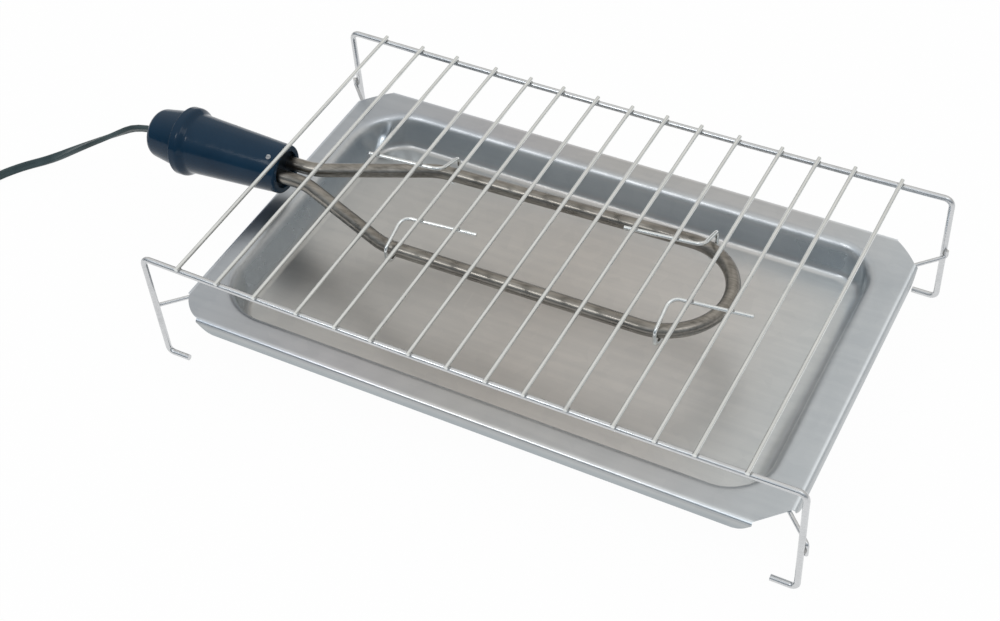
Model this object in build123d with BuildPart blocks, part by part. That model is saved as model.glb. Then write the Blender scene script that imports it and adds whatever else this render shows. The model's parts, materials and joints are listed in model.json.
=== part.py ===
"""Electric grill: a wire rack over a pressed drip tray, with a heating element that slides into hooks.

Millimetres. +Z is up and Z = 0 is the counter that the feet stand on. +X runs along the rack, away
from the handle, and +Y runs to its rear. The origin lies on the counter, under the middle of the
grill without its cord.
"""

import os
from math import asin, atan2, cos, hypot, pi, radians, sin, sqrt, tan

from build123d import *

# Rails, each bent from one wire with its two legs and feet. Lengths are between wire centres.
rack_length = 420.0
rack_width = 243.0
rail_wire = 3.8
rail_sag = 2.0
rail_bend = 5.0
foot_bend = 4.0
foot_length = 15.3
sag_arc_share = 0.93

# Cross wires, welded on top of the rails at these shares of the rack's length from its middle
cross_wire = 2.6
cross_overhang = 0.4
weld_sink = 0.3
weld_gap = 0.05
weld_flat = 6.0
cross_wire_shares = (
    -0.436, -0.369, -0.306, -0.236, -0.174, -0.117, -0.058, 0.0,
    0.058, 0.114, 0.175, 0.242, 0.299, 0.354, 0.424,
)

# Hooks, welded under the cross wires, which carry the two arms of the element
hook_wire = 2.4
hook_shank = 49.0
hook_turn_deg = 5.5
hook_inset = 15.3
hook_bend = 6.5
hook_shoulder_rise = 7.0
hook_shoulder_bend = 4.0
hook_tip = 3.5
hook_gap = 0.3
hook_play = 1.0
hook_left_share = -0.203
hook_right_share = 0.214

# Tray supports, one bent wire at each end of the rack, under the tray's cut corners. Its ends lie along
# two legs, the front one down and the rear one up.
support_wire = 2.6
support_inset = 10.0
support_bend = 6.0
support_end_bend = 2.0
support_tail_down = 9.0
support_tail_up = 5.0

# Drip tray, pressed from sheet, with a flat rim, folded lips and cut corners
tray_height = 41.7
tray_end_gap = 10.0
tray_side_gap = 0.5
tray_sheet = 0.6
tray_corner_cut = 18.5
tray_seat_gap = 0.2
lip_height = 9.0
lip_taper = 7.0
lip_corner = 4.0
fold_radius = 1.2
left_rim = 15.5
right_rim = 23.0
side_rim = 18.0
basin_depth = 23.7
left_lean = 10.5
right_lean = 3.0
side_lean = 6.0
basin_left_corner = 38.0
basin_right_corner = 28.0
floor_corner = 22.0
basin_rim_bend = 6.5
basin_floor_bend = 5.0

# Heating element: a hairpin of round tube in one level plane, turned a little in the rack. Its arms
# spread from the neck to the loop.
element_height = 67.7
element_drop = 17.8
element_offset = 0.9
element_yaw_deg = 1.4
tube_diameter = 9.0
tube_wall = 0.9
tube_pitch = 13.4
loop_reach = 116.2
loop_half = 38.8
arm_half = 37.0
neck_straight = 18.0
neck_length = 74.5
neck_bend = 40.0
winding_diameter = 2.4
fill_gap = 0.05

# Handle: a tapered hollow body with a flange, and a cap behind it that narrows to a rounded end
handle_set_in = 24.0
handle_length = 71.0
handle_front_diameter = 32.0
handle_back_diameter = 40.0
handle_bore = 24.6
handle_front_round = 1.5
flange_diameter = 45.6
flange_length = 5.5
flange_slope = 4.0
flange_blend = 4.0
flange_round = 0.7
spigot_length = 6.0
spigot_diameter = 32.0
spigot_gap = 0.2
spigot_round = 0.5
cap_length = 24.0
cap_diameter = 39.0
cap_end_diameter = 31.0
cap_round = 6.0
cap_wall = 2.5
cap_edge = 0.8

# Ferrule and set screw, which hold the two tubes in the handle
ferrule_recess = 2.0
ferrule_length = 15.0
ferrule_gap = 0.1
handle_screw_setback = 6.5
handle_screw_angle_deg = 27.0
handle_screw_diameter = 2.4
handle_screw_bite = 4.0
handle_screw_head = 3.4
handle_screw_head_height = 1.2
handle_screw_proud = 0.2
screw_slot = 0.6
screw_slot_depth = 0.5
screw_gap = 0.1

# Terminals inside the handle
tube_tail = 7.0
seal_length = 4.0
block_gap = 2.0
block_length = 22.0
block_width = 20.0
block_height = 12.0
pin_reach = 12.0
pin_overlap = 18.0
lead_diameter = 2.4
lead_spread = 1.3
lead_bend = 6.0
lead_straight = 6.0
terminal_screw_diameter = 3.0
terminal_screw_head = 5.0
terminal_screw_head_height = 1.6
terminal_screw_inset = 5.0

# Cord, its grip in the cap, and its route. The route's points are chosen by hand.
cord_diameter = 5.0
cord_hole_gap = 0.6
cord_tail = 16.0
cord_straight = 11.0
cord_corner_share = 0.45
grip_length = 8.0
grip_diameter = 14.0
grip_screw_diameter = 3.0
grip_screw_proud = 1.5
cord_points = [
    (-292.0, -7.8, 52.0),
    (-323.0, -8.8, 31.0),
    (-354.0, -11.5, 11.2),
    (-376.0, -21.0, 4.0),
    (-388.0, -39.0, 2.6),
    (-393.0, -60.0, 3.7),
    (-393.0, -80.0, 3.7),
]

# Put-away coil in two layers, its tie and the plug at its end
coil_radius = 35.0
coil_gap = 0.6
coil_turns = 5.5
climb_turns = 0.5
coil_lead = 12.0
biarcs_per_turn = 4
heading_steps_per_turn = 400
tie_turn = 0.25
tie_width = 5.0
tie_thickness = 0.8
tie_gap = 0.35
tie_corner = 2.0
relief_length = 22.0
relief_small = 7.0
relief_large = 11.0
plug_length = 34.0
plug_width = 28.0
plug_height = 17.4
plug_corner = 6.0
plug_back_round = 5.0
plug_front_round = 1.5
plug_pin_diameter = 4.0
plug_pin_length = 19.0
plug_pin_pitch = 18.6
plug_pin_root = 6.0
plug_pin_round = 1.2

cut_overrun = 1.0

# Values that follow from the sizes above. The rails stand as high as the element under them needs.
rack_height = element_height + element_drop
half_length = rack_length / 2
half_width = rack_width / 2
rail_z = rack_height - rail_wire / 2
foot_z = rail_wire / 2
sag_depth = rail_sag / (1 - sag_arc_share / 2)
sag_turn = sag_depth / half_length
sag_radius = sag_arc_share * half_length / sag_turn

tray_length = rack_length - 2 * tray_end_gap
tray_width = rack_width - 2 * tray_side_gap
basin_length = tray_length - left_rim - right_rim
basin_width = tray_width - 2 * side_rim
basin_shift = (left_rim - right_rim) / 2
floor_length = basin_length - left_lean - right_lean
floor_width = basin_width - 2 * side_lean
floor_shift = basin_shift + (left_lean - right_lean) / 2

leg_offset = ((rail_wire + support_wire) / 2 + weld_gap) / sqrt(2)
support_z = tray_height - tray_sheet - tray_seat_gap - support_wire / 2
support_x = tray_length / 2 - support_inset

handle_front = handle_set_in - half_length
flange_front = handle_front - handle_length
cap_front = flange_front - flange_length
cap_end = cap_front - cap_length
ferrule_front = handle_front - ferrule_recess
ferrule_back = ferrule_front - ferrule_length
tube_end = ferrule_back - tube_tail
seal_back = tube_end - seal_length
block_front = seal_back - block_gap
block_back = block_front - block_length
cord_start = cap_end + cord_tail
neck_start = handle_front + neck_straight
neck_end = neck_start + neck_length
loop_x = loop_reach - loop_half
arm_run = loop_x - neck_end
arm_splay = asin(loop_half / hypot(arm_run, arm_half)) - atan2(arm_half, arm_run)
arm_end = loop_x - loop_half * sin(arm_splay)
arm_end_half = loop_half * cos(arm_splay)
tube_bore = tube_diameter - 2 * tube_wall
hook_reach = tube_diameter / 2 + hook_gap + hook_wire / 2

rack_reach = half_length + leg_offset + support_wire / 2
rack_x = -(cap_end + rack_reach) / 2

# The element's plane: its X runs along the element's axis, from the handle to the loop
element_plane = Plane(
    origin=(rack_x, element_offset, element_height),
    x_dir=(cos(radians(element_yaw_deg)), sin(radians(element_yaw_deg)), 0),
    z_dir=(0, 0, 1),
)
profile_plane = Plane(
    origin=element_plane.origin, x_dir=element_plane.x_dir, z_dir=-element_plane.y_dir
)
element_axis = Axis(element_plane.origin, element_plane.x_dir)
rack_plane = Plane(origin=(rack_x, 0, 0))
rack_middle = Plane(origin=(rack_x, 0, 0), z_dir=(1, 0, 0))


def save(piece, name):
    """Label a finished piece and write it to its own file."""
    piece.part.label = name
    export_step(piece.part, f"parts/{name}.step")


def element_point(along):
    """A place on the element's axis, as a point of the grill."""
    return element_plane.from_local_coords((along, 0, 0))


def section_at(along):
    """The plane square to the element's axis at this place: X across, Y up."""
    return Plane(
        origin=element_point(along), x_dir=element_plane.y_dir, z_dir=element_plane.x_dir
    )


def rod_along(path, diameter, bore=0.0):
    """A round rod along a path, or a tube where it has a bore."""
    with BuildPart() as rod:
        with BuildSketch(Plane(origin=path @ 0, z_dir=path % 0)):
            Circle(diameter / 2)
            if bore > 0:
                Circle(bore / 2, mode=Mode.SUBTRACT)
        sweep(path=path)
    return rod


def bent_wire(points, radii, diameter):
    """A round wire along straight runs, with one bend radius for each corner."""
    with BuildLine() as route:
        FilletPolyline(*points, radius=radii)
    return rod_along(route.wire(), diameter)


def rail_top(x):
    """Height of a rail's top line at a distance from the rack's middle, on the sagging part."""
    return rack_height - rail_sag + sag_radius - sqrt(sag_radius**2 - x**2)


def cross_wire_z(x):
    """Height of a cross wire's centre line."""
    return rail_top(x) + weld_gap + cross_wire / 2 - weld_sink


os.makedirs("parts", exist_ok=True)


# Rails with their legs and feet
def rail_points(y):
    return [
        (rack_x - half_length + foot_length, y, foot_z),
        (rack_x - half_length, y, foot_z),
        (rack_x - half_length, y, rail_z),
        (rack_x, y, rail_z - sag_depth),
        (rack_x + half_length, y, rail_z),
        (rack_x + half_length, y, foot_z),
        (rack_x + half_length - foot_length, y, foot_z),
    ]


rail_radii = [foot_bend, rail_bend, sag_radius, rail_bend, foot_bend]
for name, y in (("front_rail", -half_width), ("rear_rail", half_width)):
    rail = bent_wire(rail_points(y), rail_radii, rail_wire)
    save(rail, name)

# Cross wires, each with a small weld flat over both rails
cross_half = half_width + rail_wire / 2 + cross_overhang
for number, share in enumerate(cross_wire_shares, start=1):
    wire_x = share * rack_length
    flat_z = rail_top(wire_x) + weld_gap
    with BuildPart() as bar:
        with BuildSketch(Plane(origin=(rack_x + wire_x, 0, cross_wire_z(wire_x)), z_dir=(0, 1, 0))):
            Circle(cross_wire / 2)
        extrude(amount=cross_half, both=True)
        with BuildSketch(Plane(origin=(rack_x + wire_x, 0, flat_z))):
            with Locations((0, -half_width), (0, half_width)):
                Rectangle(cross_wire + 2 * cut_overrun, weld_flat)
        extrude(amount=-cross_wire, mode=Mode.SUBTRACT)
    save(bar, f"cross_wire_{number:02d}")


# Hooks: a shank under the cross wires, a shoulder over the element's arm and a curl under it
def hook_points(x, side):
    """Corners of a hook at this place along the rack, on the front (-1) or rear (1) arm."""
    axis_y = element_offset + x * tan(radians(element_yaw_deg))
    shank_y = axis_y + side * (loop_half - hook_inset)
    outer_y = axis_y + side * (loop_half + hook_reach + hook_play)
    tip_y = axis_y + side * (loop_half - hook_tip)
    far_x = x - side * hook_shank * cos(radians(hook_turn_deg))
    far_y = shank_y - side * hook_shank * sin(radians(hook_turn_deg))
    return [
        (rack_x + far_x, far_y, shank_z(far_x)),
        (rack_x + x, shank_y, shank_z(x)),
        (rack_x + x, outer_y, element_height + hook_shoulder_rise),
        (rack_x + x, outer_y, element_height - hook_reach),
        (rack_x + x, tip_y, element_height - hook_reach),
    ]


def shank_z(x):
    """Height of a hook's shank where it lies under the cross wires."""
    return cross_wire_z(x) - (cross_wire + hook_wire) / 2 - weld_gap


hook_radii = [hook_bend, hook_shoulder_bend, hook_reach]
for end_name, share in (("left", hook_left_share), ("right", hook_right_share)):
    for side_name, side in (("front", -1), ("rear", 1)):
        corners = hook_points(share * rack_length, side)
        hook = bent_wire(corners, hook_radii, hook_wire)
        save(hook, f"hook_{side_name}_{end_name}")

# Tray supports: a straight run under the tray's end, slanting out to the legs, with an end along each leg
leg_y = half_width - leg_offset
corner_y = leg_y - (half_length + leg_offset - support_x)
for name, end in (("tray_support_left", -1), ("tray_support_right", 1)):
    corner_x = rack_x + end * support_x
    leg_x = rack_x + end * (half_length + leg_offset)
    support = bent_wire(
        [
            (leg_x, -leg_y, support_z - support_tail_down),
            (leg_x, -leg_y, support_z),
            (corner_x, -corner_y, support_z),
            (corner_x, corner_y, support_z),
            (leg_x, leg_y, support_z),
            (leg_x, leg_y, support_z + support_tail_up),
        ],
        [support_end_bend, support_bend, support_bend, support_end_bend],
        support_wire,
    )
    save(support, name)

# Drip tray: the pressed basin's outside and inside, then the rim and lips around them
basin_plane = Plane(origin=(rack_x, 0, tray_height), x_dir=(1, 0, 0), z_dir=(0, 0, -1))


def basin_form(skin):
    """The basin from the rim's top to its floor, with a skin of this thickness around it."""
    with BuildPart() as basin:
        with BuildSketch(basin_plane) as opening:
            with Locations((basin_shift, 0)):
                Rectangle(basin_length + 2 * skin, basin_width + 2 * skin)
            fillet(opening.vertices().group_by(Axis.X)[0], basin_left_corner + skin)
            fillet(opening.vertices().group_by(Axis.X)[-1], basin_right_corner + skin)
        with BuildSketch(basin_plane.offset(basin_depth + skin)):
            with Locations((floor_shift, 0)):
                RectangleRounded(floor_length + 2 * skin, floor_width + 2 * skin, floor_corner + skin)
        loft(ruled=True)
        fillet(basin.faces().sort_by(Axis.Z)[0].edges(), basin_floor_bend + skin)
    return basin.part


side_half = tray_length / 2 - tray_corner_cut
end_half = tray_width / 2 - tray_corner_cut
rim_underside = tray_height - tray_sheet


def folded_edge(fold_plane, half):
    """The rim's edge strip, bent down into a lip. The plane's X points in from the edge, its Y up."""
    with BuildPart() as strip:
        with BuildSketch(fold_plane):
            with BuildLine():
                FilletPolyline((2 * fold_radius, 0), (0, 0), (0, -lip_height), radius=fold_radius)
                Line((0, -lip_height), (tray_sheet, -lip_height))
                FilletPolyline(
                    (tray_sheet, -lip_height),
                    (tray_sheet, -tray_sheet),
                    (2 * fold_radius, -tray_sheet),
                    radius=fold_radius - tray_sheet,
                )
                Line((2 * fold_radius, -tray_sheet), (2 * fold_radius, 0))
            make_face()
        extrude(amount=half, both=True)
    return strip.part


def lip_end_cuts(lip_plane, half):
    """Wedges that taper a lip's ends and clear the cut corners. The plane's X runs along the lip."""
    with BuildPart() as wedges:
        with BuildSketch(lip_plane.offset(cut_overrun)):
            with BuildLine():
                Polyline(
                    (half, 0),
                    (half + 2 * tray_corner_cut, 0),
                    (half + 2 * tray_corner_cut, -lip_height),
                    (half - lip_taper, -lip_height),
                    close=True,
                )
            make_face()
            mirror(about=Plane.YZ)
        extrude(amount=-tray_corner_cut - cut_overrun)
    return wedges.part


side_edge = folded_edge(
    Plane(origin=(rack_x, -tray_width / 2, tray_height), x_dir=(0, 1, 0), z_dir=(1, 0, 0)),
    tray_length / 2,
)
end_edge = folded_edge(
    Plane(origin=(rack_x + tray_length / 2, 0, tray_height), x_dir=(-1, 0, 0), z_dir=(0, 1, 0)),
    tray_width / 2,
)
side_cuts = lip_end_cuts(
    Plane(origin=(rack_x, -tray_width / 2, rim_underside), x_dir=(1, 0, 0), z_dir=(0, -1, 0)),
    side_half,
)
end_cuts = lip_end_cuts(
    Plane(origin=(rack_x + tray_length / 2, 0, rim_underside), x_dir=(0, 1, 0), z_dir=(1, 0, 0)),
    end_half,
)

with BuildPart() as drip_tray:
    with BuildSketch(rack_plane.offset(rim_underside)):
        Rectangle(tray_length - 2 * fold_radius, tray_width - 2 * fold_radius)
    extrude(amount=tray_sheet)
    add([side_edge, end_edge])
    mirror(side_edge, about=Plane.XZ)
    mirror(end_edge, about=rack_middle)
    with BuildSketch(rack_plane) as rim_outline:
        Rectangle(tray_length, tray_width)
        chamfer(rim_outline.vertices(), tray_corner_cut)
    extrude(amount=tray_height, mode=Mode.INTERSECT)
    add([side_cuts, end_cuts], mode=Mode.SUBTRACT)
    mirror(side_cuts, about=Plane.XZ, mode=Mode.SUBTRACT)
    mirror(end_cuts, about=rack_middle, mode=Mode.SUBTRACT)
    lip_edges = drip_tray.edges().group_by(Axis.Z)[0]
    fillet(lip_edges.filter_by(lambda edge: edge.length < fold_radius), lip_corner)
    add(basin_form(tray_sheet))
    add(basin_form(0), mode=Mode.SUBTRACT)
    underside = drip_tray.faces().filter_by(Plane.XY).group_by(Axis.Z)[-2]
    fillet(underside.sort_by(SortBy.AREA)[-1].inner_wires()[0].edges(), basin_rim_bend - tray_sheet)
    top = drip_tray.faces().filter_by(Plane.XY).sort_by(Axis.Z)[-1]
    fillet(top.inner_wires()[0].edges(), basin_rim_bend)
save(drip_tray, "drip_tray")


# Heating element: sheath, packed insulation and the winding inside it
def element_path(start):
    """The hairpin's centre line, from one tube end to the other."""
    near_row = tube_pitch / 2
    with BuildLine(element_plane) as path:
        FilletPolyline(
            (start, near_row),
            (neck_start, near_row),
            (neck_end, arm_half),
            (arm_end, arm_end_half),
            radius=neck_bend,
        )
        ThreePointArc((arm_end, arm_end_half), (loop_reach, 0), (arm_end, -arm_end_half))
        FilletPolyline(
            (arm_end, -arm_end_half),
            (neck_end, -arm_half),
            (neck_start, -near_row),
            (start, -near_row),
            radius=neck_bend,
        )
    return path.wire()


winding_start = tube_end + pin_overlap
element_sheath = rod_along(element_path(tube_end), tube_diameter, tube_bore)
save(element_sheath, "element_sheath")
element_insulation = rod_along(
    element_path(tube_end), tube_bore - 2 * fill_gap, winding_diameter + 2 * fill_gap
)
save(element_insulation, "element_insulation")
heating_wire = rod_along(element_path(winding_start), winding_diameter)
save(heating_wire, "heating_wire")

tube_places = [(-tube_pitch / 2, 0), (tube_pitch / 2, 0)]
pin_back = block_front - pin_reach
with BuildPart() as terminal_pins:
    with BuildSketch(section_at(pin_back)):
        with Locations(*tube_places):
            Circle(winding_diameter / 2)
    extrude(amount=winding_start - pin_back)
save(terminal_pins, "terminal_pins")

with BuildPart() as end_seals:
    with BuildSketch(section_at(seal_back)):
        with Locations(*tube_places):
            Circle(tube_diameter / 2)
            Circle(winding_diameter / 2 + fill_gap, mode=Mode.SUBTRACT)
    extrude(amount=seal_length)
save(end_seals, "end_seals")

# The set screw's plane: Z points out of the handle's side along the screw
screw_along = handle_front - handle_screw_setback
screw_tilt = radians(handle_screw_angle_deg)
screw_plane = Plane(
    origin=element_point(screw_along),
    x_dir=element_plane.x_dir,
    z_dir=element_plane.z_dir * cos(screw_tilt) - element_plane.y_dir * sin(screw_tilt),
)
handle_growth = (handle_back_diameter - handle_front_diameter) / 2
screw_skin = handle_front_diameter / 2 + handle_growth * handle_screw_setback / handle_length
flare_radius = handle_back_diameter / 2 - handle_growth * flange_slope / handle_length
screw_head_seat = screw_skin + handle_screw_proud - handle_screw_head_height
ferrule_radius = handle_bore / 2 - ferrule_gap
screw_point = ferrule_radius - handle_screw_bite
screw_hole = handle_screw_diameter / 2 + screw_gap

with BuildPart() as tube_ferrule:
    with BuildSketch(section_at(ferrule_back)):
        Circle(ferrule_radius)
        with Locations(*tube_places):
            Circle(tube_diameter / 2 + fill_gap, mode=Mode.SUBTRACT)
    extrude(amount=ferrule_length)
    with BuildSketch(screw_plane.offset(screw_point)):
        Circle(screw_hole)
    extrude(amount=handle_screw_bite + cut_overrun, mode=Mode.SUBTRACT)
save(tube_ferrule, "tube_ferrule")

with BuildPart() as handle_body:
    with BuildSketch(profile_plane):
        with BuildLine():
            FilletPolyline(
                (handle_front, handle_bore / 2),
                (handle_front, handle_front_diameter / 2),
                (flange_front + flange_slope, flare_radius),
                (flange_front, flange_diameter / 2),
                (cap_front, flange_diameter / 2),
                (cap_front, spigot_diameter / 2),
                (cap_front - spigot_length, spigot_diameter / 2),
                (cap_front - spigot_length, handle_bore / 2),
                radius=[
                    handle_front_round,
                    flange_blend,
                    flange_blend,
                    flange_round,
                    0,
                    spigot_round,
                ],
            )
            Line(
                (cap_front - spigot_length, handle_bore / 2), (handle_front, handle_bore / 2)
            )
        make_face()
    revolve(axis=element_axis)
    with BuildSketch(screw_plane):
        Circle(screw_hole)
    extrude(amount=flange_diameter, mode=Mode.SUBTRACT)
    with BuildSketch(screw_plane.offset(screw_head_seat)):
        Circle(handle_screw_head / 2 + screw_gap)
    extrude(amount=flange_diameter, mode=Mode.SUBTRACT)
save(handle_body, "handle_body")

with BuildPart() as handle_screw:
    with BuildSketch(screw_plane.offset(screw_point + screw_gap)):
        Circle(handle_screw_diameter / 2)
    extrude(amount=screw_head_seat - screw_point - screw_gap)
    with BuildSketch(screw_plane.offset(screw_head_seat)):
        Circle(handle_screw_head / 2)
    extrude(amount=handle_screw_head_height)
    with BuildSketch(screw_plane.offset(screw_head_seat + handle_screw_head_height)):
        Rectangle(handle_screw_head + cut_overrun, screw_slot)
    extrude(amount=-screw_slot_depth, mode=Mode.SUBTRACT)
save(handle_screw, "handle_screw")

cap_bore = spigot_diameter + 2 * spigot_gap
cord_hole = cord_diameter + 2 * cord_hole_gap
cap_inner_end = cap_end + cap_wall
cap_bore_end = cap_front - spigot_length - cap_edge
with BuildPart() as handle_cap:
    with BuildSketch(profile_plane):
        with BuildLine():
            FilletPolyline(
                (cap_front, cap_bore / 2),
                (cap_front, cap_diameter / 2),
                (cap_end, cap_end_diameter / 2),
                (cap_end, cord_hole / 2),
                (cap_inner_end, cord_hole / 2),
                (cap_inner_end, cap_end_diameter / 2 - cap_wall),
                (cap_bore_end, cap_bore / 2),
                radius=[0, cap_edge, cap_round, cap_edge, cap_edge, cap_round - cap_wall, 0],
                close=True,
            )
        make_face()
    revolve(axis=element_axis)
save(handle_cap, "handle_cap")

# Terminal block with its screws, and the leads from it to the cord
terminal_rows = [block_front - terminal_screw_inset, block_back + terminal_screw_inset]
with BuildPart() as terminal_block:
    with BuildSketch(section_at(block_back)):
        Rectangle(block_width, block_height)
        with Locations(*tube_places):
            Circle(winding_diameter / 2 + fill_gap, mode=Mode.SUBTRACT)
    extrude(amount=block_length)
    with BuildSketch(element_plane):
        for along in terminal_rows:
            with Locations((along, -tube_pitch / 2), (along, tube_pitch / 2)):
                Circle(terminal_screw_diameter / 2 + fill_gap)
    extrude(amount=block_height, mode=Mode.SUBTRACT)
save(terminal_block, "terminal_block")

screw_foot = winding_diameter / 2 + fill_gap
with BuildPart() as terminal_screws:
    with BuildSketch(element_plane.offset(screw_foot)):
        for along in terminal_rows:
            with Locations((along, -tube_pitch / 2), (along, tube_pitch / 2)):
                Circle(terminal_screw_diameter / 2)
    extrude(amount=block_height / 2 - screw_foot)
    with BuildSketch(element_plane.offset(block_height / 2)):
        for along in terminal_rows:
            with Locations((along, -tube_pitch / 2), (along, tube_pitch / 2)):
                Circle(terminal_screw_head / 2)
    extrude(amount=terminal_screw_head_height)
save(terminal_screws, "terminal_screws")

lead_front = block_back + pin_reach - block_gap
lead_turn = block_back - lead_straight
with BuildPart() as inner_leads:
    for side in (-1, 1):
        with BuildLine(element_plane) as lead_path:
            FilletPolyline(
                (lead_front, side * tube_pitch / 2),
                (lead_turn, side * tube_pitch / 2),
                (cord_start + lead_straight, side * lead_spread),
                (cord_start, side * lead_spread),
                radius=lead_bend,
            )
        with BuildSketch(section_at(lead_front)):
            with Locations((side * tube_pitch / 2, 0)):
                Circle(lead_diameter / 2)
        sweep(path=lead_path.wire())
save(inner_leads, "inner_leads")

# Cord grip, a collar against the cap's end wall, with its set screw
grip_bore = cord_diameter / 2 + fill_gap
grip_screw_plane = Plane(
    origin=element_point(cap_inner_end + grip_length / 2),
    x_dir=element_plane.x_dir,
    z_dir=element_plane.z_dir,
)
with BuildPart() as cord_grip:
    with BuildSketch(section_at(cap_inner_end)):
        Circle(grip_diameter / 2)
        Circle(grip_bore, mode=Mode.SUBTRACT)
    extrude(amount=grip_length)
    with BuildSketch(grip_screw_plane):
        Circle(grip_screw_diameter / 2 + fill_gap)
    extrude(amount=grip_diameter, mode=Mode.SUBTRACT)
save(cord_grip, "cord_grip")

with BuildPart() as cord_grip_screw:
    with BuildSketch(grip_screw_plane.offset(grip_bore)):
        Circle(grip_screw_diameter / 2)
    extrude(amount=grip_diameter / 2 + grip_screw_proud - grip_bore)
save(cord_grip_screw, "cord_grip_screw")

# Free stretch of the cord, from inside the cap to the coil
cord_route = [element_point(cord_start), element_point(cap_end - cord_straight)]
cord_route += [Vector(*point) for point in cord_points]
cord_radii = []
for before, corner, after in zip(cord_route, cord_route[1:], cord_route[2:]):
    run_in = corner - before
    run_out = after - corner
    half_turn = radians(run_in.get_angle(run_out)) / 2
    cord_radii.append(cord_corner_share * min(run_in.length, run_out.length) / tan(half_turn))
power_cord = bent_wire(cord_route, cord_radii, cord_diameter)
save(power_cord, "power_cord")

# Put-away coil: it spirals in on the lower layer, climbs, and spirals out again on the upper one
coil_pitch = cord_diameter + coil_gap
coil_entry = cord_route[-1]
coil_middle = coil_entry - Vector(coil_radius, cord_diameter, 0)


def coil_level(turn):
    """Radius and height of the coil's centre line after this many turns."""
    radius = coil_radius - coil_pitch * min(turn, coil_turns - turn)
    climbed = (turn - coil_turns / 2) / climb_turns + 1 / 2
    climbed = min(max(climbed, 0), 1)
    return radius, coil_entry.Z + coil_pitch * climbed**2 * (3 - 2 * climbed)


def coil_point(turn):
    """Place on the coil's centre line after this many turns, clockwise from +X."""
    radius, z = coil_level(turn)
    return Vector(
        coil_middle.X + radius * cos(2 * pi * turn), coil_middle.Y - radius * sin(2 * pi * turn), z
    )


def coil_heading(turn):
    """Direction of the coil's centre line, level and square to the radius at both ends."""
    if turn in (0, coil_turns):
        return Vector(-sin(2 * pi * turn), -cos(2 * pi * turn), 0)
    step = 1 / heading_steps_per_turn
    return (coil_point(turn + step) - coil_point(turn - step)).normalized()


def biarc(start, start_way, end, end_way):
    """Two arcs that leave the start and reach the end along the two headings."""
    span = end - start
    ways = start_way + end_way
    spread = 2 * (1 - start_way.dot(end_way))
    reach = (sqrt(span.dot(ways) ** 2 + spread * span.dot(span)) - span.dot(ways)) / spread
    first = start + start_way * reach
    second = end - end_way * reach
    TangentArc(start, (first + second) / 2, tangent=start_way)
    TangentArc((first + second) / 2, end, tangent=second - first)


coil_knots = [step / biarcs_per_turn for step in range(int(coil_turns * biarcs_per_turn) + 1)]
plug_way = coil_heading(coil_turns)
coil_exit = coil_point(coil_turns) + plug_way * coil_lead
with BuildLine() as coil_line:
    Line(coil_entry, coil_point(0))
    for here, there in zip(coil_knots, coil_knots[1:]):
        biarc(coil_point(here), coil_heading(here), coil_point(there), coil_heading(there))
    Line(coil_point(coil_turns), coil_exit)
coil_wire = coil_line.wire()
cord_coil = rod_along(coil_wire, cord_diameter)
save(cord_coil, "cord_coil")

# Tie round the coil's turns, opposite to the climb
tie_inner, tie_low = coil_level(int(coil_turns / 2) + tie_turn)
tie_outer, tie_high = coil_level(coil_turns - tie_turn)
tie_margin = cord_diameter / 2 + tie_gap
tie_reach = (tie_inner + tie_outer) / 2
tie_span = tie_outer - tie_inner + 2 * tie_margin
tie_rise = tie_high - tie_low + 2 * tie_margin
tie_plane = Plane(
    origin=(coil_middle.X, coil_middle.Y - tie_reach, (tie_low + tie_high) / 2),
    x_dir=(0, 1, 0),
    z_dir=(1, 0, 0),
)
with BuildPart() as cord_tie:
    with BuildSketch(tie_plane):
        RectangleRounded(
            tie_span + 2 * tie_thickness, tie_rise + 2 * tie_thickness, tie_corner + tie_thickness
        )
        RectangleRounded(tie_span, tie_rise, tie_corner, mode=Mode.SUBTRACT)
    extrude(amount=tie_width / 2, both=True)
save(cord_tie, "cord_tie")

# Plug at the coil's outer end, in line with the cord
relief_end = coil_exit + plug_way * relief_length
plug_end = relief_end + plug_way * plug_length
level = Vector(0, 0, 1).cross(plug_way)
with BuildPart() as plug_relief:
    with BuildSketch(Plane(origin=coil_exit, x_dir=level, z_dir=plug_way)):
        Circle(relief_small / 2)
    with BuildSketch(Plane(origin=relief_end, x_dir=level, z_dir=plug_way)):
        Circle(relief_large / 2)
    loft()
save(plug_relief, "plug_relief")

pin_places = [(-plug_pin_pitch / 2, 0), (plug_pin_pitch / 2, 0)]
with BuildPart() as plug_body:
    with BuildSketch(Plane(origin=relief_end, x_dir=level, z_dir=plug_way)):
        RectangleRounded(plug_width, plug_height, plug_corner)
    extrude(amount=plug_length)
    plug_faces = plug_body.faces().sort_by(Axis(relief_end, plug_way))
    fillet(plug_faces[0].edges(), plug_back_round)
    fillet(plug_faces[-1].edges(), plug_front_round)
    with BuildSketch(Plane(origin=plug_end, x_dir=level, z_dir=plug_way)):
        with Locations(*pin_places):
            Circle(plug_pin_diameter / 2 + fill_gap)
    extrude(amount=-plug_pin_root, mode=Mode.SUBTRACT)
save(plug_body, "plug_body")

pin_root = plug_end - plug_way * plug_pin_root
with BuildPart() as plug_pins:
    with BuildSketch(Plane(origin=pin_root, x_dir=level, z_dir=plug_way)):
        with Locations(*pin_places):
            Circle(plug_pin_diameter / 2)
    extrude(amount=plug_pin_root + plug_pin_length)
    pin_axis = Axis(pin_root, plug_way)
    pin_ends = plug_pins.faces().filter_by(pin_axis).group_by(pin_axis)
    fillet(pin_ends[-1].edges(), plug_pin_round)
save(plug_pins, "plug_pins")

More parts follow.
